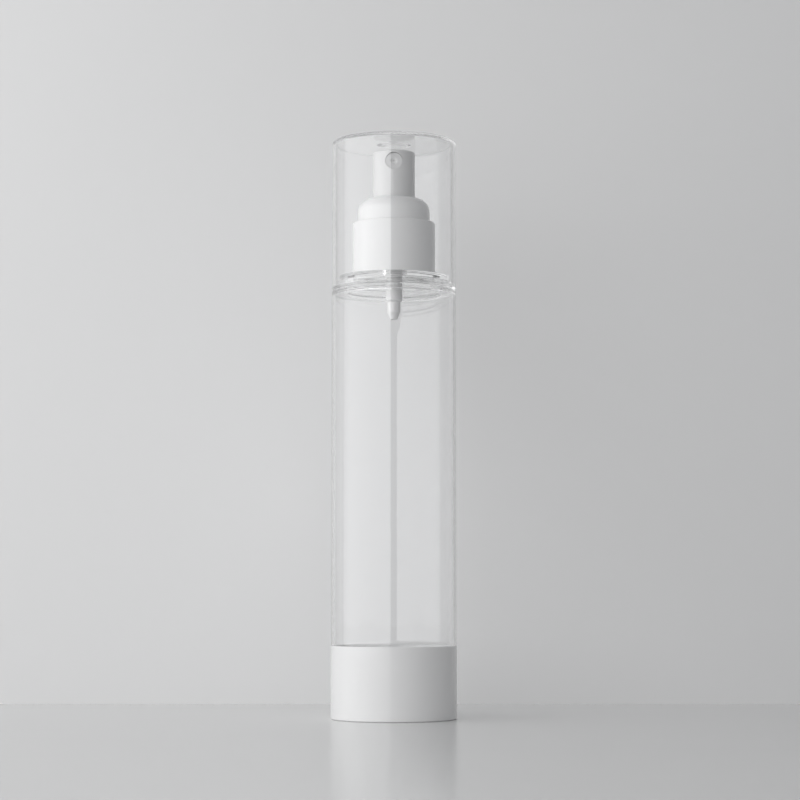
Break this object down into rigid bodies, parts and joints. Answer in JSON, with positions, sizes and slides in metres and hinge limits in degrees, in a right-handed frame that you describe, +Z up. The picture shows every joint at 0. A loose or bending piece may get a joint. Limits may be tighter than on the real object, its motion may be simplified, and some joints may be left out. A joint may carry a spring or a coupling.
{
  "type": "airless pump bottle",
  "caption": "Slim clear airless spray bottle with white base cup, follower piston, spray pump under a stepped white collar, and clear slip-on overcap.",
  "frame": {"origin": "centre of the bottle's foot, on the surface that it stands on", "axes": "+Z up along the bottle's axis, -Y the way the nozzle sprays"},
  "size_m": [0.041, 0.041, 0.1887],
  "materials": {
    "clear_plastic": "polished clear styrene acrylonitrile",
    "white_plastic": "moulded white polypropylene, smooth with a soft gloss",
    "inner_plastic": "moulded white polypropylene",
    "soft_plastic": "moulded white polyethylene",
    "gasket_rubber": "matt grey elastomer",
    "steel": "drawn stainless steel"
  },
  "bodies": {
    "container": {"bottle": "clear_plastic", "base_cup": "white_plastic", "collar": "white_plastic", "snap_ring": "inner_plastic", "neck_gasket": "gasket_rubber", "pump_housing": "inner_plastic", "stem_guide": "inner_plastic", "ball_retainer": "inner_plastic", "return_spring": "steel"},
    "cap": {"overcap": "clear_plastic"},
    "plunger": {"stem": "inner_plastic", "stem_plug": "inner_plastic"},
    "head": {"actuator": "white_plastic", "nozzle_insert": "white_plastic"},
    "seal": {"pump_piston": "soft_plastic"},
    "ball": {"inlet_ball": "steel"},
    "follower": {"follower_piston": "soft_plastic"}
  },
  "joints": [
    {"name": "overcap_lift", "type": "slide", "parent": "container", "child": "cap", "axis": [0, 0, 1], "range_m": [0, 0.06]},
    {"name": "button_press", "type": "slide", "parent": "container", "child": "plunger", "axis": [0, 0, -1], "range_m": [0, 0.0055], "stiffness_N_per_m": 1200, "springref_m": -0.004, "deforming": ["return_spring"]},
    {"name": "button_swivel", "type": "hinge", "parent": "plunger", "child": "head", "pos_m": [0, 0, 0.174], "axis": [0, 0, 1], "continuous": true},
    {"name": "piston_slip", "type": "slide", "parent": "plunger", "child": "seal", "axis": [0, 0, 1], "range_m": [0, 0.0005]},
    {"name": "ball_lift", "type": "slide", "parent": "container", "child": "ball", "axis": [0, 0, 1], "range_m": [0, 0.001]},
    {"name": "follower_rise", "type": "slide", "parent": "container", "child": "follower", "axis": [0, 0, 1], "range_m": [0, 0.12]}
  ]
}
